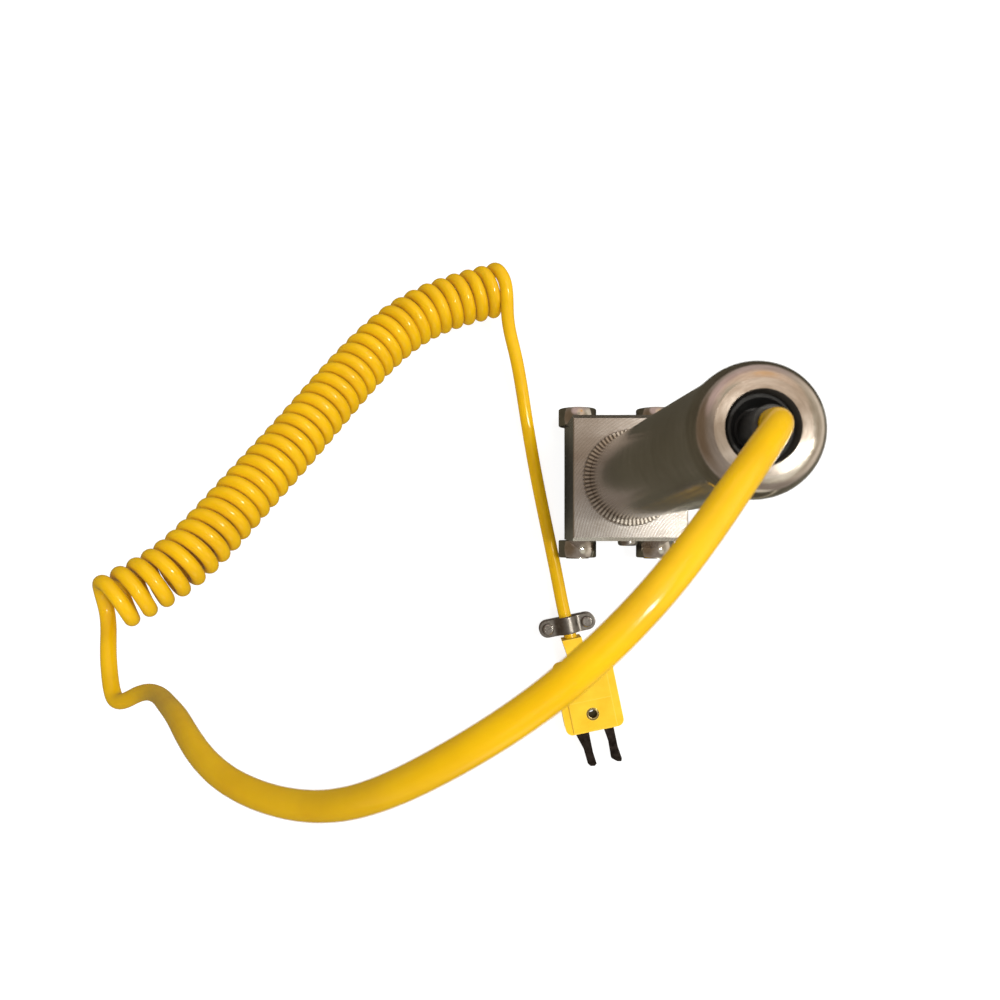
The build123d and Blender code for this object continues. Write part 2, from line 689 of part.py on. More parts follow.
with BuildPart() as plug_cover:
    with plug_sketch(MID_Z + FACE_GAP):
        body_outline()
    extrude(amount=RAIL_Z - MID_Z - FACE_GAP)
    with plug_sketch(RAIL_Z):
        with Locations((0, STEP_Y / 2 + 0.2)):
            Rectangle(PLUG_W - 2 * RAIL_W, STEP_Y - 0.4)
    extrude(amount=FRONT_PAD_Z - RAIL_Z)
    with plug_sketch(RAIL_Z):
        with Locations((0, (STEP_Y + PLUG_L - 0.6) / 2)):
            Rectangle(PLUG_W - 2 * RAIL_W, PLUG_L - 0.6 - STEP_Y)
    extrude(amount=PLUG_H - RAIL_Z)
    with plug_sketch(MID_Z):
        with Locations((0, sum(POCKET_Y) / 2)):
            Rectangle(2 * POCKET_X, POCKET_Y[1] - POCKET_Y[0])
    extrude(amount=ROOF_Z - MID_Z, mode=Mode.SUBTRACT)
    with plug_sketch(MID_Z):
        with Locations((0, HOLE_Y)):
            Circle(EYELET_R + FACE_GAP)
    extrude(amount=MID_Z, mode=Mode.SUBTRACT)
    with plug_sketch(MID_Z):
        blade_openings()
    extrude(amount=BLADE_T / 2 + FACE_GAP, mode=Mode.SUBTRACT)
    with BuildSketch(CHANNEL_PLANE):
        Circle(CORD_FIT_R)
    extrude(amount=CHANNEL_L, mode=Mode.SUBTRACT)
save(plug_cover.part, "plug_cover")

with BuildPart() as eyelet:
    with plug_sketch(0.2):
        with Locations((0, HOLE_Y)):
            Circle(EYELET_R)
            Circle(EYELET_BORE_R, mode=Mode.SUBTRACT)
    extrude(amount=FRONT_PAD_Z - 0.3)
save(eyelet.part, "plug_brass_eyelet")

for (name, outline), side in zip(BLADES.items(), (-1, 1)):
    with BuildPart() as blade:
        with plug_sketch(BLADE_LOW):
            Polygon(*outline, align=None)
            with Locations((side * BLADE_PITCH / 2, TERMINAL_Y)):
                Circle(0.86, mode=Mode.SUBTRACT)
        extrude(amount=BLADE_T)
    save(blade.part, name)

with BuildPart() as terminal_screws:
    for side in (-1, 1):
        with plug_sketch(FLOOR_Z + FACE_GAP):
            with Locations((side * BLADE_PITCH / 2, TERMINAL_Y)):
                Circle(0.8)
        extrude(amount=BLADE_LOW + BLADE_T - FLOOR_Z)
        with plug_sketch(BLADE_LOW + BLADE_T + FACE_GAP):
            with Locations((side * BLADE_PITCH / 2, TERMINAL_Y)):
                Circle(1.4)
        extrude(amount=1.0)
        with plug_sketch(BLADE_LOW + BLADE_T + FACE_GAP + 0.6):
            with Locations((side * BLADE_PITCH / 2, TERMINAL_Y)):
                Rectangle(3.0, 0.4)
        extrude(amount=0.5, mode=Mode.SUBTRACT)
save(terminal_screws.part, "plug_terminal_screws")

for name, side in (("plug_negative_core", -1), ("plug_positive_core", 1)):
    start = (PLUG_CORD_X + side * CORE_X, CORD_END_Y - CORE_GAP, MID_Z + 0.2)
    end = (side * (BLADE_PITCH / 2 - 0.4), TERMINAL_Y + 2.1, BLADE_LOW + BLADE_T + CORE_R + 0.1)
    with BuildPart() as core:
        with BuildLine() as core_line:
            Spline(plug_point(*start), plug_point(*end), tangents=[plug_heading, plug_heading])
        with BuildSketch(Plane(origin=core_line.line @ 0, z_dir=core_line.line % 0)):
            Circle(CORE_R)
        sweep(path=core_line.line)
    save(core.part, name)

# ---------------------------------------------------------------- cord clamp of the plug
BAR_L = 16.8
BAR_W = 5.0
BAR_T = 1.0
CLAMP_SCREW_X = 5.8
BAR_FLAT = 3.9  # the bar is flat outside this distance from its middle
BAR_SHOULDER = (2.0, 5.5)  # point of the arch on each side of the cord
CLAMP_SCREW_R = 1.0
BAR_END_Z = 4.4
BAR_MID_Z = MID_Z + CORD_D / 2 + 0.1

with BuildPart() as clamp_bar:
    bar_middle = plug_point(CLAMP_OFFSET, CLAMP_Y, 0)
    bar_section = Plane(origin=bar_middle, x_dir=PLUG_PLANE.x_dir, z_dir=-PLUG_PLANE.y_dir)
    with BuildSketch(bar_section):
        with BuildLine():
            for low in (0, BAR_T):
                Line((-BAR_L / 2, BAR_END_Z + low), (-BAR_FLAT, BAR_END_Z + low))
                Spline(
                    (-BAR_FLAT, BAR_END_Z + low),
                    (-BAR_SHOULDER[0], BAR_SHOULDER[1] + low),
                    (0, BAR_MID_Z + low),
                    (BAR_SHOULDER[0], BAR_SHOULDER[1] + low),
                    (BAR_FLAT, BAR_END_Z + low),
                    tangents=[(1, 0), (1, 0)],
                )
                Line((BAR_FLAT, BAR_END_Z + low), (BAR_L / 2, BAR_END_Z + low))
            for end in (-BAR_L / 2, BAR_L / 2):
                Line((end, BAR_END_Z), (end, BAR_END_Z + BAR_T))
        make_face()
    extrude(amount=BAR_W / 2, both=True)
    with plug_sketch(0):
        with Locations((CLAMP_OFFSET, CLAMP_Y)):
            SlotOverall(BAR_L, BAR_W)
    extrude(amount=PLUG_H + 2, mode=Mode.INTERSECT)
    with plug_sketch(0):
        with Locations((CLAMP_OFFSET, CLAMP_Y)):
            with GridLocations(2 * CLAMP_SCREW_X, 1, 2, 1):
                Circle(CLAMP_SCREW_R + 0.05)
    extrude(amount=PLUG_H, mode=Mode.SUBTRACT)
save(clamp_bar.part, "cord_clamp_bar")

with BuildPart() as bracket:
    with plug_sketch(BRACKET_Z[0]):
        with Locations((CLAMP_OFFSET, CLAMP_Y)):
            SlotOverall(BAR_L, BAR_W)
        with Locations((sum(TONGUE) / 2, (PLUG_L + 1.5 + CLAMP_Y) / 2)):
            Rectangle(TONGUE[1] - TONGUE[0], CLAMP_Y - PLUG_L - 1.5)
        with Locations((CLAMP_OFFSET, CLAMP_Y)):
            with GridLocations(2 * CLAMP_SCREW_X, 1, 2, 1):
                Circle(CLAMP_SCREW_R + 0.05, mode=Mode.SUBTRACT)
    extrude(amount=BRACKET_Z[1] - BRACKET_Z[0])
save(bracket.part, "cord_clamp_bracket")

with BuildPart() as clamp_screws:
    with plug_sketch(0.3):
        with Locations((CLAMP_OFFSET, CLAMP_Y)):
            with GridLocations(2 * CLAMP_SCREW_X, 1, 2, 1):
                Circle(CLAMP_SCREW_R)
    extrude(amount=BAR_END_Z + BAR_T - 0.2)
    with plug_sketch(BAR_END_Z + BAR_T + 0.06):
        with Locations((CLAMP_OFFSET, CLAMP_Y)):
            with GridLocations(2 * CLAMP_SCREW_X, 1, 2, 1):
                Circle(1.65)
    extrude(amount=0.9)
    fillet(clamp_screws.edges().group_by(Axis.Z)[-1], radius=0.5)
    with plug_sketch(BAR_END_Z + BAR_T + 0.5):
        with Locations((CLAMP_OFFSET, CLAMP_Y)):
            with GridLocations(2 * CLAMP_SCREW_X, 1, 2, 1):
                Rectangle(2.0, 0.45, rotation=30)
                Rectangle(0.45, 2.0, rotation=30)
    extrude(amount=0.6, mode=Mode.SUBTRACT)
save(clamp_screws.part, "cord_clamp_screws")

with BuildPart() as clamp_nuts:
    with plug_sketch(0.25):
        with Locations((CLAMP_OFFSET, CLAMP_Y)):
            with GridLocations(2 * CLAMP_SCREW_X, 1, 2, 1):
                RegularPolygon(1.9, 6)
                Circle(CLAMP_SCREW_R + 0.03, mode=Mode.SUBTRACT)
    extrude(amount=BRACKET_Z[0] - 0.27)
save(clamp_nuts.part, "cord_clamp_nuts")
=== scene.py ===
"""Looks of the roller surface thermocouple: materials, cord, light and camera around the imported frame."""

import json
import math

import bpy
import numpy as np
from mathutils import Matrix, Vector


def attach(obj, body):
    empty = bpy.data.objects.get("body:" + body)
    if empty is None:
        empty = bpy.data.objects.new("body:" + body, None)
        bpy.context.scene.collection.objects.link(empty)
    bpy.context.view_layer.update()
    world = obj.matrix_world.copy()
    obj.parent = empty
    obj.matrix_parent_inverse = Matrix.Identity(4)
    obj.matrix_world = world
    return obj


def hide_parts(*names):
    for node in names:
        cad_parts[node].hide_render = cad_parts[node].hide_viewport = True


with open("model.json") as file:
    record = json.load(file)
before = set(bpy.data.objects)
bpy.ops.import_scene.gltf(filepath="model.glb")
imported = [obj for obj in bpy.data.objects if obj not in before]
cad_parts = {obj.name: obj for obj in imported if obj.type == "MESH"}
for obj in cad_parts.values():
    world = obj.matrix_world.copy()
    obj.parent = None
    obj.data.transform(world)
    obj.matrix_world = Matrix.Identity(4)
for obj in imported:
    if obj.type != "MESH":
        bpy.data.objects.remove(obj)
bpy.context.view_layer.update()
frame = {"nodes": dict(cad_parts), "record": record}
MM = 0.001

# ---------------------------------------------------------------- cord, millimetres
CORD_R = 1.85
CORD_SIDES = 28
COIL_R = 5.75  # mean radius of the coil
COIL_TURNS = 35.3
COIL_LEAN = 1.6  # how far the top of each turn leans along the coil
COIL_OPENING = 0.2  # extra pitch of the first turns
STEPS_PER_TURN = 40
AXIS_SAMPLES = 2000
TANGENT_REACH = 0.004  # share of the coil on each side of a point that gives its heading
LEAD_STEP = 0.8
SHARED_STEPS = 12  # coil steps that a lead also runs through, so that it joins smoothly
JOIN_STEP = 8  # coil step at which a lead hands over to the coil
PLUG_ORIGIN = np.array([-6.1, -72.2, 0.0])
PLUG_HEADING = math.radians(11.8)
PLUG_RIGHT = np.array([math.cos(PLUG_HEADING), math.sin(PLUG_HEADING), 0.0])
PLUG_BACK = np.array([-math.sin(PLUG_HEADING), math.cos(PLUG_HEADING), 0.0])
CLAMP_POINT = (-1.8, 31.5, 4.2)  # cord under the clamp bar, in the frame of the plug
CORD_END = (-0.7, 20.0, 4.2)  # end of the jacket inside the plug

HANDLE_LEAD = [
    (0, 0, 128),
    (0, 0, 134),
    (0, 0, 140.5),
    (-3.4, -3.2, 147),
    (-10.1, -10.1, 154.5),
    (-18.6, -19.2, 160.5),
    (-28.7, -28.7, 161),
    (-39.5, -36.6, 157.5),
    (-55.7, -45.8, 143.5),
    (-71.2, -47.5, 128.5),
    (-88.8, -45.8, 102),
    (-99.6, -47.3, 82),
    (-108.6, -48.8, 66.5),
    (-117.5, -51.4, 56.5),
    (-125, -53.5, 50.5),
    (-128.3, -49, 46.5),
    (-131.2, -42.5, 41.5),
    (-134.5, -34, 35.8),
]
COIL_AXIS = [
    (-130.6, -31.8, 41),
    (-117.5, -23.5, 36.5),
    (-104, -7.5, 29),
    (-90, 11.5, 20.5),
    (-75, 32, 12.5),
    (-58, 48, 8.4),
    (-34, 56.4, 7.8),
]
PLUG_LEAD = [
    (-31.9, 47.4, 11),
    (-29.8, 38, 7.6),
    (-27, 23.5, 4),
    (-24, 6, 2.2),
    (-20.4, -12, 2),
    (-17, -28.7, 2.8),
]


def plug_point(x, y, z):
    """Point given in the frame of the plug: right, back and up."""
    return PLUG_ORIGIN + x * PLUG_RIGHT + y * PLUG_BACK + np.array([0, 0, z])


def spline(points):
    """Natural cubic spline through points by chord length: f(s) with s from 0 to 1, and the length."""
    points = np.array(points, float)
    t = np.concatenate([[0], np.cumsum(np.linalg.norm(np.diff(points, axis=0), axis=1))])
    h = np.diff(t)
    n = len(t)
    matrix = np.zeros((n, n))
    right = np.zeros((n, 3))
    matrix[0, 0] = matrix[-1, -1] = 1
    for i in range(1, n - 1):
        matrix[i, i - 1 : i + 2] = h[i - 1], 2 * (h[i - 1] + h[i]), h[i]
        right[i] = 6 * ((points[i + 1] - points[i]) / h[i] - (points[i] - points[i - 1]) / h[i - 1])
    bend = np.linalg.solve(matrix, right)

    def at(s):
        s = np.clip(np.atleast_1d(s), 0, 1) * t[-1]
        i = np.clip(np.searchsorted(t, s, side="right") - 1, 0, n - 2)
        a = ((t[i + 1] - s) / h[i])[:, None]
        b = ((s - t[i]) / h[i])[:, None]
        k = (h[i] ** 2 / 6)[:, None]
        return a * points[i] + b * points[i + 1] + ((a**3 - a) * bend[i] + (b**3 - b) * bend[i + 1]) * k

    return at, t[-1]


def cord_centreline():
    """Points along the whole cord, from inside the handle to inside the plug."""
    axis, _ = spline(COIL_AXIS)
    fine = axis(np.linspace(0, 1, AXIS_SAMPLES))
    arc = np.concatenate([[0], np.cumsum(np.linalg.norm(np.diff(fine, axis=0), axis=1))])
    arc /= arc[-1]
    turn = np.arange(0, COIL_TURNS, 1 / STEPS_PER_TURN)
    share = turn / COIL_TURNS
    along = share + COIL_OPENING * share * (1 - share) ** 6

    def on_axis(position):
        position = np.clip(position, 0, 1)
        return np.stack([np.interp(position, arc, fine[:, k]) for k in range(3)], 1)

    centre = on_axis(along)
    tangent = on_axis(along + TANGENT_REACH) - on_axis(along - TANGENT_REACH)
    tangent /= np.linalg.norm(tangent, axis=1)[:, None]
    up = np.array([0, 0, 1.0]) - tangent * tangent[:, 2:3]
    up /= np.linalg.norm(up, axis=1)[:, None]
    across = np.cross(tangent, up)
    angle = 2 * math.pi * turn - math.pi / 2
    cos, sin = np.cos(angle)[:, None], np.sin(angle)[:, None]
    coil = centre + up * COIL_R * cos + across * COIL_R * sin + tangent * COIL_LEAN * cos
    plug_end = [plug_point(*CLAMP_POINT), plug_point(*CORD_END)]
    lead_in, in_length = spline([*HANDLE_LEAD, *coil[:SHARED_STEPS:3]])
    lead_out, out_length = spline([*coil[-SHARED_STEPS::3], *PLUG_LEAD, *plug_end])
    first = lead_in(np.linspace(0, 1, int(in_length / LEAD_STEP)))
    last = lead_out(np.linspace(0, 1, int(out_length / LEAD_STEP)))
    middle = coil[JOIN_STEP:-JOIN_STEP]
    keep_first = first[: np.argmin(np.linalg.norm(first - middle[0], axis=1))]
    keep_last = last[np.argmin(np.linalg.norm(last - middle[-1], axis=1)) + 1 :]
    return np.concatenate([keep_first, middle, keep_last])


def tube(name, centre, radius, sides):
    """Closed tube along a line of points, in millimetres, with turned-over ends."""
    tangent = np.gradient(centre, axis=0)
    tangent /= np.linalg.norm(tangent, axis=1)[:, None]
    normal = np.zeros_like(centre)
    start = np.cross(tangent[0], [0, 1, 0])
    normal[0] = start / np.linalg.norm(start)
    for i in range(1, len(centre)):
        moved = normal[i - 1] - tangent[i] * (normal[i - 1] @ tangent[i])
        normal[i] = moved / np.linalg.norm(moved)
    binormal = np.cross(tangent, normal)
    angle = np.linspace(0, 2 * math.pi, sides, endpoint=False)[None, :, None]
    ring = np.cos(angle) * normal[:, None, :] + np.sin(angle) * binormal[:, None, :]
    points = (centre[:, None, :] + ring * radius).reshape(-1, 3)
    rows = len(centre)
    faces = []
    for i in range(rows - 1):
        a, b = i * sides, (i + 1) * sides
        faces += [(a + j, a + (j + 1) % sides, b + (j + 1) % sides, b + j) for j in range(sides)]
    faces.append(tuple(range(sides - 1, -1, -1)))
    faces.append(tuple((rows - 1) * sides + j for j in range(sides)))
    return mesh_object(name, points * MM, faces)


def mesh_object(name, points, faces):
    """Smooth-shaded mesh object, with its points in metres."""
    mesh = bpy.data.meshes.new(name)
    mesh.from_pydata([tuple(p) for p in points], [], faces)
    mesh.validate()
    mesh.polygons.foreach_set("use_smooth", [True] * len(mesh.polygons))
    mesh.update()
    piece = bpy.data.objects.new(name, mesh)
    bpy.context.scene.collection.objects.link(piece)
    return piece


# ---------------------------------------------------------------- materials
LOCK_RING_TEETH = 70
MICRON = 0.000001
MIX_FACTOR, MIX_A, MIX_B = 0, 6, 7  # colour inputs of a Mix node
MIX_RESULT = 2  # colour output of a Mix node


class Shader:
    """Small helper round a node tree with one Principled shader."""

    def __init__(self, name, **inputs):
        self.material = bpy.data.materials.new(name)
        self.material.use_nodes = True
        self.tree = self.material.node_tree
        self.shader = self.tree.nodes["Principled BSDF"]
        for key, value in inputs.items():
            self.shader.inputs[key.replace("_", " ")].default_value = value
        self.place = self.add("ShaderNodeTexCoord").outputs["Object"]

    def add(self, kind, **settings):
        node = self.tree.nodes.new(kind)
        for key, value in settings.items():
            setattr(node, key, value)
        return node

    def link(self, output, target):
        self.tree.links.new(output, target)

    def set(self, name, output):
        self.link(output, self.shader.inputs[name])

    def noise(self, scale, detail=4.0, stretch=(1, 1, 1), roughness=0.55):
        """Noise with a feature size given per metre."""
        mapping = self.add("ShaderNodeMapping")
        mapping.inputs["Scale"].default_value = stretch
        self.link(self.place, mapping.inputs["Vector"])
        node = self.add("ShaderNodeTexNoise")
        node.inputs["Scale"].default_value = scale
        node.inputs["Detail"].default_value = detail
        node.inputs["Roughness"].default_value = roughness
        self.link(mapping.outputs["Vector"], node.inputs["Vector"])
        return node.outputs["Fac"]

    def wave(self, scale, centre, distortion):
        """Rings round a point in the XY plane, as a face mill leaves them."""
        mapping = self.add("ShaderNodeMapping")
        mapping.inputs["Location"].default_value = [-c for c in centre]
        self.link(self.place, mapping.inputs["Vector"])
        node = self.add("ShaderNodeTexWave", wave_type="RINGS", rings_direction="Z")
        node.inputs["Scale"].default_value = scale
        node.inputs["Distortion"].default_value = distortion
        node.inputs["Detail"].default_value = 2.0
        self.link(mapping.outputs["Vector"], node.inputs["Vector"])
        return node.outputs["Fac"]

    def turn(self):
        """Angle round the Z axis: -pi to pi."""
        split = self.add("ShaderNodeSeparateXYZ")
        self.link(self.place, split.inputs[0])
        angle = self.add("ShaderNodeMath", operation="ARCTAN2")
        self.link(split.outputs["Y"], angle.inputs[0])
        self.link(split.outputs["X"], angle.inputs[1])
        return angle.outputs[0]

    def teeth(self, count):
        """Saw value that runs 0 to 1 once for each of count teeth round the Z axis."""
        turned = self.scale_add(self.turn(), count / (2 * math.pi), count)
        saw = self.add("ShaderNodeMath", operation="FRACT")
        self.link(turned, saw.inputs[0])
        return saw.outputs[0]

    def lathe_noise(self, across, along=1.6):
        """Noise drawn out round the Z axis, as a cutting tool leaves it; across is lines per metre."""
        split = self.add("ShaderNodeSeparateXYZ")
        self.link(self.place, split.inputs[0])
        flat = self.add("ShaderNodeVectorMath", operation="MULTIPLY")
        flat.inputs[1].default_value = (1, 1, 0)
        self.link(self.place, flat.inputs[0])
        length = self.add("ShaderNodeVectorMath", operation="LENGTH")
        self.link(flat.outputs[0], length.inputs[0])
        around = self.add("ShaderNodeVectorMath", operation="NORMALIZE")
        self.link(flat.outputs[0], around.inputs[0])
        turned = self.add("ShaderNodeVectorMath", operation="SCALE")
        turned.inputs["Scale"].default_value = along
        self.link(around.outputs[0], turned.inputs[0])
        depth = self.add("ShaderNodeMath", operation="SUBTRACT")
        self.link(length.outputs["Value"], depth.inputs[0])
        self.link(split.outputs["Z"], depth.inputs[1])
        height = self.add("ShaderNodeMath", operation="MULTIPLY")
        height.inputs[1].default_value = across
        self.link(depth.outputs[0], height.inputs[0])
        join = self.add("ShaderNodeCombineXYZ")
        self.link(height.outputs[0], join.inputs["Z"])
        total = self.add("ShaderNodeVectorMath", operation="ADD")
        self.link(turned.outputs[0], total.inputs[0])
        self.link(join.outputs[0], total.inputs[1])
        node = self.add("ShaderNodeTexNoise")
        node.inputs["Scale"].default_value = 1.0
        node.inputs["Detail"].default_value = 5.0
        node.inputs["Roughness"].default_value = 0.6
        self.link(total.outputs[0], node.inputs["Vector"])
        return node.outputs["Fac"]

    def ramp(self, value, *stops):
        """Colour ramp; each stop is (position, (r, g, b)) or (position, grey)."""
        node = self.add("ShaderNodeValToRGB")
        elements = node.color_ramp.elements
        while len(elements) < len(stops):
            elements.new(0.5)
        for element, (position, colour) in zip(elements, stops):
            element.position = position
            colour = (colour,) * 3 if isinstance(colour, (int, float)) else colour
            element.color = (*colour, 1)
        self.link(value, node.inputs["Fac"])
        return node.outputs["Color"]

    def mix(self, factor, a, b, blend="MIX"):
        """Mix of two colours; each argument is a socket or a value."""
        node = self.add("ShaderNodeMix", data_type="RGBA", blend_type=blend)
        for index, value in ((MIX_FACTOR, factor), (MIX_A, a), (MIX_B, b)):
            socket = node.inputs[index]
            if isinstance(value, bpy.types.NodeSocket):
                self.link(value, socket)
            elif isinstance(value, tuple):
                socket.default_value = (*value, 1)
            else:
                socket.default_value = value
        return node.outputs[MIX_RESULT]

    def scale_add(self, value, factor, offset):
        """value * factor + offset"""
        node = self.add("ShaderNodeMath", operation="MULTIPLY_ADD")
        self.link(value, node.inputs[0])
        node.inputs[1].default_value = factor
        node.inputs[2].default_value = offset
        return node.outputs[0]

    def bump(self, *layers):
        """Stack of bump layers, each (height, strength, distance in metres)."""
        normal = None
        for height, strength, distance in layers:
            node = self.add("ShaderNodeBump")
            node.inputs["Strength"].default_value = strength
            node.inputs["Distance"].default_value = distance
            self.link(height, node.inputs["Height"])
            if normal is not None:
                self.link(normal, node.inputs["Normal"])
            normal = node.outputs["Normal"]
        self.set("Normal", normal)

    def edge_wear(self, radius=0.0004):
        """1 near convex or concave edges, 0 on open faces."""
        bevel = self.add("ShaderNodeBevel", samples=4)
        bevel.inputs["Radius"].default_value = radius
        geometry = self.add("ShaderNodeNewGeometry")
        dot = self.add("ShaderNodeVectorMath", operation="DOT_PRODUCT")
        self.link(bevel.outputs["Normal"], dot.inputs[0])
        self.link(geometry.outputs["Normal"], dot.inputs[1])
        return self.ramp(dot.outputs["Value"], (0.80, 1.0), (0.99, 0.0))


def milled_aluminium():
    s = Shader("milled_aluminium", Metallic=1.0, Anisotropic=0.3)
    arcs = s.wave(430, centre=(0.019, -0.021, 0), distortion=1.2)
    fine = s.wave(1900, centre=(-0.03, 0.02, 0), distortion=2.0)
    patch = s.noise(120, detail=4)
    tone = s.ramp(patch, (0.3, (0.60, 0.55, 0.50)), (0.7, (0.78, 0.75, 0.72)))
    tone = s.mix(0.22, tone, s.ramp(arcs, (0.0, 0.60), (1.0, 1.0)), "MULTIPLY")
    tone = s.mix(0.18, tone, s.ramp(fine, (0.0, 0.55), (1.0, 1.0)), "MULTIPLY")
    s.set("Base Color", s.mix(s.edge_wear(0.0003), tone, (0.92, 0.88, 0.82)))
    s.set("Roughness", s.scale_add(s.noise(900, stretch=(1, 4, 1)), 0.14, 0.13))
    s.bump((arcs, 0.22, 20 * MICRON), (fine, 0.16, 10 * MICRON), (s.noise(5200), 0.12, 10 * MICRON))
    return s.material


def turned_aluminium():
    s = Shader("turned_aluminium", Metallic=1.0, Anisotropic=0.6, Anisotropic_Rotation=0.25)
    tangent = s.add("ShaderNodeTangent", direction_type="RADIAL", axis="Z")
    s.link(tangent.outputs["Tangent"], s.shader.inputs["Tangent"])
    streaks = s.lathe_noise(900)
    cuts = s.lathe_noise(5200, along=3.0)
    smear = s.noise(70, stretch=(1, 1, 0.35), detail=5)
    tone = s.ramp(smear, (0.25, (0.50, 0.44, 0.37)), (0.55, (0.62, 0.56, 0.50)), (0.8, (0.72, 0.65, 0.60)))
    tone = s.mix(0.45, tone, s.ramp(streaks, (0.3, (0.60, 0.53, 0.47)), (0.6, (1.0, 1.0, 1.0))), "MULTIPLY")
    tone = s.mix(0.25, tone, s.ramp(cuts, (0.35, 0.60), (0.6, 1.0)), "MULTIPLY")
    s.set("Base Color", tone)
    s.set("Roughness", s.scale_add(streaks, 0.10, 0.10))
    s.bump((streaks, 0.12, 30 * MICRON), (cuts, 0.20, 10 * MICRON))
    return s.material


def steel(name, tone_low, tone_high, roughness, grain=900.0, stretch=(1, 1, 1), spread=0.14):
    """Steel between two tones, with brighter worn edges."""
    s = Shader(name, Metallic=1.0)
    patch = s.noise(grain, stretch=stretch)
    tone = s.ramp(patch, (0.3, tone_low), (0.75, tone_high))
    s.set("Base Color", s.mix(s.edge_wear(0.00015), tone, tuple(min(1, 1.35 * c) for c in tone_high)))
    s.set("Roughness", s.scale_add(patch, spread, roughness))
    s.bump((s.noise(6000), 0.8 * spread, 10 * MICRON))
    return s.material


def knurled_aluminium():
    """Painted highlight on the crests and painted shade in the roots, one pair for each tooth of the lock
    ring.
    """
    s = Shader("knurled_aluminium", Metallic=1.0)
    # painted light: the bright crest tone stands in for lit crests, the near-black root tone for shade in
    # the roots
    tooth_highlight_and_shade = s.ramp(
        s.teeth(LOCK_RING_TEETH),
        (0.0, (0.86, 0.80, 0.72)),
        (0.3, (0.34, 0.29, 0.24)),
        (0.5, (0.05, 0.04, 0.032)),
        (0.7, (0.42, 0.37, 0.31)),
        (1.0, (0.86, 0.80, 0.72)),
    )
    s.set("Base Color", s.mix(0.3, tooth_highlight_and_shade, s.ramp(s.noise(700), (0.3, 0.55), (0.7, 1.0)), "MULTIPLY"))
    s.set("Roughness", s.scale_add(s.noise(1500), 0.12, 0.2))
    s.bump((s.noise(5000), 0.06, 10 * MICRON))
    return s.material


def cord_plastic():
    s = Shader("yellow_cord", Specular_IOR_Level=0.5, Subsurface_Weight=0.06)
    s.shader.inputs["Subsurface Radius"].default_value = (0.002, 0.001, 0.0002)
    s.shader.inputs["Subsurface Scale"].default_value = 0.5
    patch = s.noise(110, detail=3)
    tone = s.ramp(patch, (0.3, (0.72, 0.405, 0.0005)), (0.7, (0.80, 0.47, 0.0010)))
    dust = s.ramp(s.noise(3200, detail=2), (0.70, 0.0), (0.80, 0.35))
    s.set("Base Color", s.mix(dust, tone, (0.62, 0.31, 0.004)))
    s.set("Roughness", s.scale_add(s.noise(900), 0.10, 0.12))
    s.bump((s.noise(420, detail=2), 0.14, 80 * MICRON), (s.noise(4200), 0.08, 10 * MICRON))
    return s.material


def plug_plastic():
    s = Shader("yellow_plug", Specular_IOR_Level=0.30, Subsurface_Weight=0.08)
    s.shader.inputs["Subsurface Radius"].default_value = (0.002, 0.001, 0.0003)
    s.shader.inputs["Subsurface Scale"].default_value = 0.5
    patch = s.noise(220)
    tone = s.ramp(patch, (0.3, (0.78, 0.46, 0.012)), (0.7, (0.86, 0.54, 0.026)))
    s.set("Base Color", s.mix(s.edge_wear(0.0004), tone, (0.93, 0.66, 0.10)))
    s.set("Roughness", s.scale_add(s.noise(1500), 0.2, 0.36))
    s.bump((s.noise(2600), 0.22, 20 * MICRON), (s.noise(300), 0.1, 50 * MICRON))
    return s.material


def rubber(name, tone):
    s = Shader(name, Roughness=0.55, Specular_IOR_Level=0.35)
    s.set("Base Color", s.ramp(s.noise(800), (0.3, tone), (0.8, tuple(1.8 * c for c in tone))))
    s.set("Roughness", s.scale_add(s.noise(1200), 0.25, 0.42))
    s.bump((s.noise(3500), 0.3, 20 * MICRON))
    return s.material


def ceramic():
    s = Shader("ceramic", Roughness=0.5)
    s.set("Base Color", s.ramp(s.noise(900), (0.3, (0.70, 0.66, 0.58)), (0.8, (0.86, 0.83, 0.77))))
    s.bump((s.noise(5000), 0.3, 20 * MICRON))
    return s.material


MATERIALS = {
    "milled_aluminium": milled_aluminium(),
    "turned_aluminium": turned_aluminium(),
    "knurled_aluminium": knurled_aluminium(),
    "bearing_steel": steel("bearing_steel", (0.50, 0.46, 0.41), (0.62, 0.58, 0.53), 0.05, spread=0.04),
    "cage_steel": steel("cage_steel", (0.4, 0.38, 0.34), (0.55, 0.53, 0.5), 0.25),
    "shield_steel": steel("shield_steel", (0.34, 0.33, 0.31), (0.5, 0.49, 0.47), 0.24),
    "dark_steel": steel("dark_steel", (0.17, 0.155, 0.14), (0.27, 0.25, 0.225), 0.28),
    "plated_steel": steel("plated_steel", (0.22, 0.205, 0.19), (0.34, 0.32, 0.30), 0.3),
    "screw_steel": steel("screw_steel", (0.30, 0.28, 0.26), (0.48, 0.46, 0.43), 0.16),
    # the blades' near-black tone is painted reflection: bright blade metal mirroring the black camera held
    # above them
    "dark_alloy": steel("dark_alloy", (0.022, 0.016, 0.014), (0.075, 0.060, 0.052), 0.16, 700),
    "thermo_alloy": steel("thermo_alloy", (0.3, 0.27, 0.24), (0.5, 0.47, 0.43), 0.25),
    "brass": steel("brass", (0.30, 0.22, 0.09), (0.50, 0.40, 0.18), 0.3),
    "black_rubber": rubber("black_rubber", (0.008, 0.008, 0.008)),
    "grey_rubber": rubber("grey_rubber", (0.035, 0.035, 0.034)),
    "yellow_cord": cord_plastic(),
    "yellow_plug": plug_plastic(),
    "ceramic": ceramic(),
    "yellow_core": cord_plastic(),
    "red_core": rubber("red_core", (0.30, 0.015, 0.01)),
}

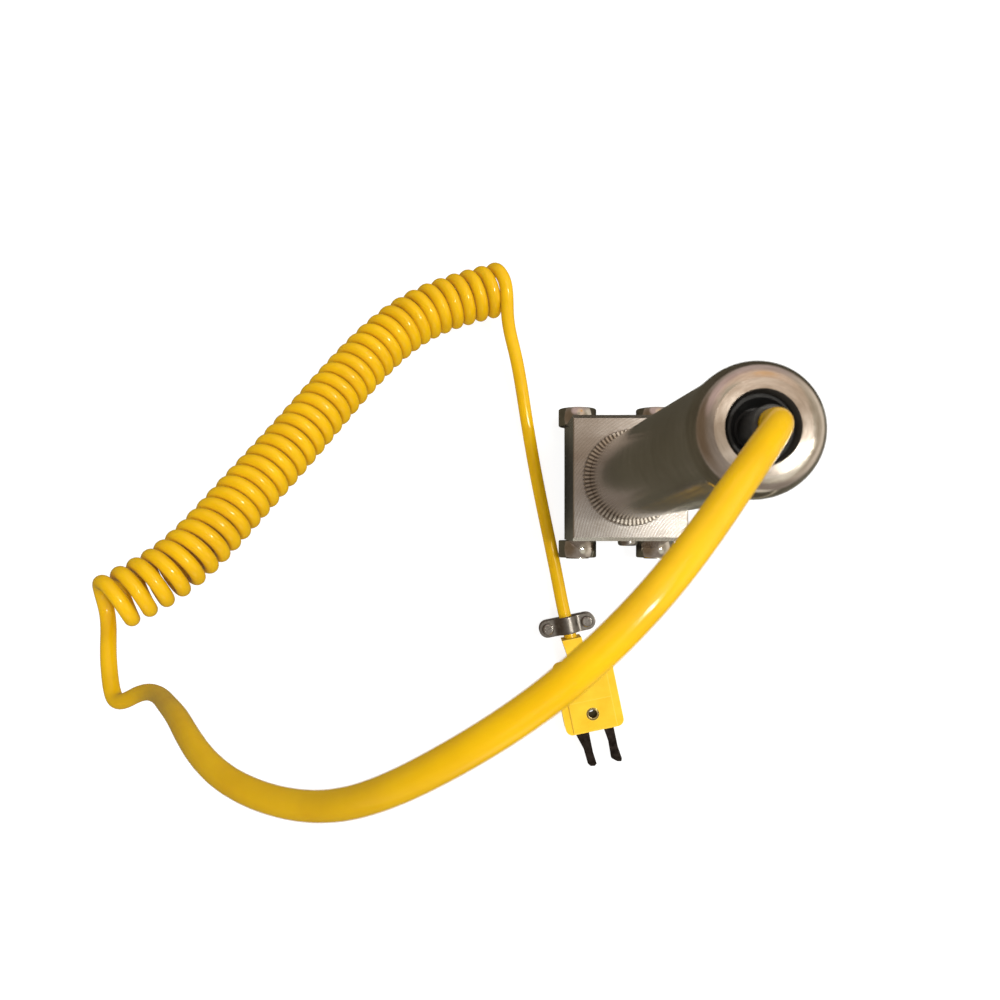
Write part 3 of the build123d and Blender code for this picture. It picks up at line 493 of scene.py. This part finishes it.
# ---------------------------------------------------------------- carried-over CAD nodes
SOFT_EDGES = {
    "plug_base": 0.0005,
    "plug_cover": 0.0005,
    "cord_clamp_bar": 0.0003,
    "cord_clamp_bracket": 0.0002,
    "plug_positive_blade": 0.0002,
    "plug_negative_blade": 0.0002,
    "plug_brass_eyelet": 0.0002,
    "carriage_block": 0.00015,
}

for entry in frame["record"]["subparts"]:
    node = frame["nodes"][entry["node"]]
    node.data.materials.clear()
    node.data.materials.append(MATERIALS[entry["material_slot"]])
    weld = node.modifiers.new("weld", "WELD")
    weld.merge_threshold = 0.000002
    if entry["node"] in SOFT_EDGES:
        bevel = node.modifiers.new("edge", "BEVEL")
        bevel.width = SOFT_EDGES[entry["node"]]
        bevel.segments = 3
        bevel.limit_method = "ANGLE"
        bevel.angle_limit = math.radians(40)

cord = tube("cord", cord_centreline(), CORD_R, CORD_SIDES)
cord.data.materials.append(MATERIALS["yellow_cord"])
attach(cord, "probe")
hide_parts("cord_handle_lead", "cord_coil", "cord_plug_lead")
cord.visible_glossy = False  # keeps yellow streaks out of the polished metal


# ---------------------------------------------------------------- floor, light and camera
def floor_material():
    """Pale floor that keeps a faint shadow; where the metal mirrors it, it shows a mostly dim painted
    reflection instead: tones that change round the part, one bright strip as a painted highlight line, and
    painted shadow near the block.
    """
    s = Shader("floor", Roughness=0.9)
    s.set("Base Color", s.ramp(s.noise(30), (0.3, 0.24), (0.7, 0.26)))
    s.shader.inputs["Specular IOR Level"].default_value = 0.0
    s.shader.inputs["Emission Color"].default_value = (1, 1, 1, 1)
    s.shader.inputs["Emission Strength"].default_value = 0.86
    turn = s.scale_add(s.turn(), 1 / (2 * math.pi), 0.5)
    # painted reflection for glossy rays: tone by angle round the part, with a bright strip at 0.338 that
    # paints a highlight line on the shaft
    painted_reflection_tone = s.ramp(
        turn,
        (0.0, (0.105, 0.093, 0.062)),
        (0.334, (0.110, 0.100, 0.070)),
        (0.338, (1.6, 1.5, 1.2)),
        (0.342, (0.125, 0.118, 0.088)),
        (0.46, (0.24, 0.23, 0.185)),
        (0.555, (0.27, 0.26, 0.215)),
        (0.565, (0.105, 0.095, 0.068)),
        (0.75, (0.080, 0.070, 0.048)),
        (1.0, (0.105, 0.093, 0.062)),
    )
    # painted shadow: the mirrored floor is dimmed to 0.15 of its glow up to 17 mm from the part and rises
    # to full by 28 mm, standing in for the block's shade on the floor
    away = s.add("ShaderNodeVectorMath", operation="LENGTH")
    s.link(s.place, away.inputs[0])
    near = s.add("ShaderNodeMapRange", interpolation_type="SMOOTHSTEP")
    near.inputs["From Min"].default_value = 0.017
    near.inputs["From Max"].default_value = 0.028
    near.inputs["To Min"].default_value = 0.15
    s.link(away.outputs["Value"], near.inputs["Value"])
    path = s.add("ShaderNodeLightPath")
    painted_reflection_glow = s.add("ShaderNodeEmission")
    s.link(painted_reflection_tone, painted_reflection_glow.inputs["Color"])
    s.link(near.outputs["Result"], painted_reflection_glow.inputs["Strength"])
    mix = s.add("ShaderNodeMixShader")
    output = s.tree.nodes["Material Output"]
    s.link(path.outputs["Is Glossy Ray"], mix.inputs[0])
    s.link(s.shader.outputs[0], mix.inputs[1])
    s.link(painted_reflection_glow.outputs[0], mix.inputs[2])
    s.link(mix.outputs[0], output.inputs["Surface"])
    return s.material


FLOOR_HALF = 1.5
FLOOR_DROP = 0.0002
corners = [(x * FLOOR_HALF, y * FLOOR_HALF, 0) for x, y in ((-1, -1), (1, -1), (1, 1), (-1, 1))]
floor = mesh_object("floor", corners, [(0, 1, 2, 3)])
floor.location.z = -FLOOR_DROP
floor.data.materials.append(floor_material())

ROOM_TONE = (0.36, 0.315, 0.28, 1)
world = bpy.data.worlds.new("studio")
bpy.context.scene.world = world
world.use_nodes = True
world_tree = world.node_tree


def world_node(kind, **settings):
    node = world_tree.nodes.new(kind)
    for key, value in settings.items():
        setattr(node, key, value)
    return node


def lobe(base, axis, near, far, colour):
    """Mixes a colour into the surroundings: full within near degrees of axis and gone by far degrees."""
    dot = world_node("ShaderNodeVectorMath", operation="DOT_PRODUCT")
    world_tree.links.new(sky_direction, dot.inputs[0])
    dot.inputs[1].default_value = Vector(axis).normalized()
    step = world_node("ShaderNodeMapRange", interpolation_type="SMOOTHSTEP")
    step.inputs["From Min"].default_value = math.cos(math.radians(far))
    step.inputs["From Max"].default_value = math.cos(math.radians(near))
    world_tree.links.new(dot.outputs["Value"], step.inputs["Value"])
    mix = world_node("ShaderNodeMix", data_type="RGBA")
    world_tree.links.new(step.outputs["Result"], mix.inputs[MIX_FACTOR])
    if base is None:
        mix.inputs[MIX_A].default_value = ROOM_TONE
    else:
        world_tree.links.new(base, mix.inputs[MIX_A])
    mix.inputs[MIX_B].default_value = (*colour, 1)
    return mix.outputs[MIX_RESULT]


sky_direction = world_node("ShaderNodeTexCoord").outputs["Generated"]
seen = None
for axis, near, far, colour in (
    ((-1, 0.1, 0.6), 15, 60, (0.21, 0.155, 0.105)),  # dim warm wall on the left
    ((1, 0.1, 0.45), 15, 50, (1.0, 0.92, 0.80)),
    ((0.2, 1, 0.5), 12, 40, (0.62, 0.52, 0.49)),
    ((0.7, 0.1, 1), 12, 38, (0.52, 0.46, 0.36)),
    ((-0.3, 0.9, 1), 8, 30, (0.74, 0.58, 0.56)),
    ((0.3, 0.55, 1), 8, 28, (0.98, 0.78, 0.62)),
    ((0.42, 0.75, 1), 3, 8, (1.0, 0.62, 0.30)),
    ((0.55, -0.25, 1), 6, 20, (0.90, 0.88, 0.76)),
    ((0.30, -0.10, 1), 4, 13, (0.75, 0.74, 0.70)),
    ((0.08, 0.38, 1), 3, 9, (0.58, 0.55, 0.45)),
    ((0.09, 0.08, 1), 3, 8, (0.30, 0.235, 0.18)),  # whoever stands over the part
    ((0.2, -1, 0.1), 8, 20, (1.0, 0.97, 0.85)),  # light at the front edge
):
    seen = lobe(seen, axis, near, far, colour)

# Metal mirrors the room, matt surfaces get even light, and the camera sees a plain backdrop.
background = world_tree.nodes["Background"]
world_tree.links.new(seen, background.inputs["Color"])
background.inputs["Strength"].default_value = 1.0
even = world_node("ShaderNodeBackground")
even.inputs["Color"].default_value = (1, 0.985, 0.96, 1)
even.inputs["Strength"].default_value = 0.42
ray = world_node("ShaderNodeLightPath")
choose = world_node("ShaderNodeMixShader")
world_tree.links.new(ray.outputs["Is Diffuse Ray"], choose.inputs[0])
world_tree.links.new(background.outputs[0], choose.inputs[1])
world_tree.links.new(even.outputs[0], choose.inputs[2])
backdrop = world_node("ShaderNodeBackground")
backdrop.inputs["Color"].default_value = (0.93, 0.93, 0.93, 1)
choose_backdrop = world_node("ShaderNodeMixShader")
world_tree.links.new(ray.outputs["Is Camera Ray"], choose_backdrop.inputs[0])
world_tree.links.new(choose.outputs[0], choose_backdrop.inputs[1])
world_tree.links.new(backdrop.outputs[0], choose_backdrop.inputs[2])
world_tree.links.new(choose_backdrop.outputs[0], world_tree.nodes["World Output"].inputs["Surface"])


def softbox(name, place, target, size, power, colour):
    """Rectangular lamp that faces the target."""
    light = bpy.data.lights.new(name, "AREA")
    light.shape = "RECTANGLE"
    light.size, light.size_y = size
    light.energy = power
    light.color = colour
    lamp = bpy.data.objects.new(name, light)
    lamp.location = place
    lamp.rotation_euler = (Vector(target) - Vector(place)).to_track_quat("-Z", "Y").to_euler()
    bpy.context.scene.collection.objects.link(lamp)
    return lamp


softbox("key_spot", (0.37, 0.0, 0.80), (0, 0, 0.03), (0.05, 0.14), 2.2, (1, 0.98, 0.92))
for name, place, extent, power in (
    ("soft_right", (0.70, 0.50, 1.50), (1.0, 1.0), 17.0),
    ("soft_front", (-0.20, -0.90, 1.60), (0.8, 0.6), 8.0),
):
    soft = softbox(name, place, (0, 0, 0.03), extent, power, (1, 0.98, 0.95))
    soft.visible_glossy = False

# The camera looks straight down the handle from close by, at a phone's field of view.
CAMERA = Vector((-0.03353, -0.01279, 0.23625))
camera_data = bpy.data.cameras.new("camera")
camera_data.lens = 28.26
camera_data.sensor_width = 36
camera_data.shift_x = -0.00204
camera_data.shift_y = 0.0269
camera_data.clip_start = 0.005
camera_data.dof.use_dof = True
camera_data.dof.focus_distance = CAMERA.z - 0.018
camera_data.dof.aperture_fstop = 64
camera = bpy.data.objects.new("camera", camera_data)
camera.location = CAMERA
bpy.context.scene.collection.objects.link(camera)
bpy.context.scene.camera = camera
bpy.context.scene.view_settings.view_transform = "Standard"
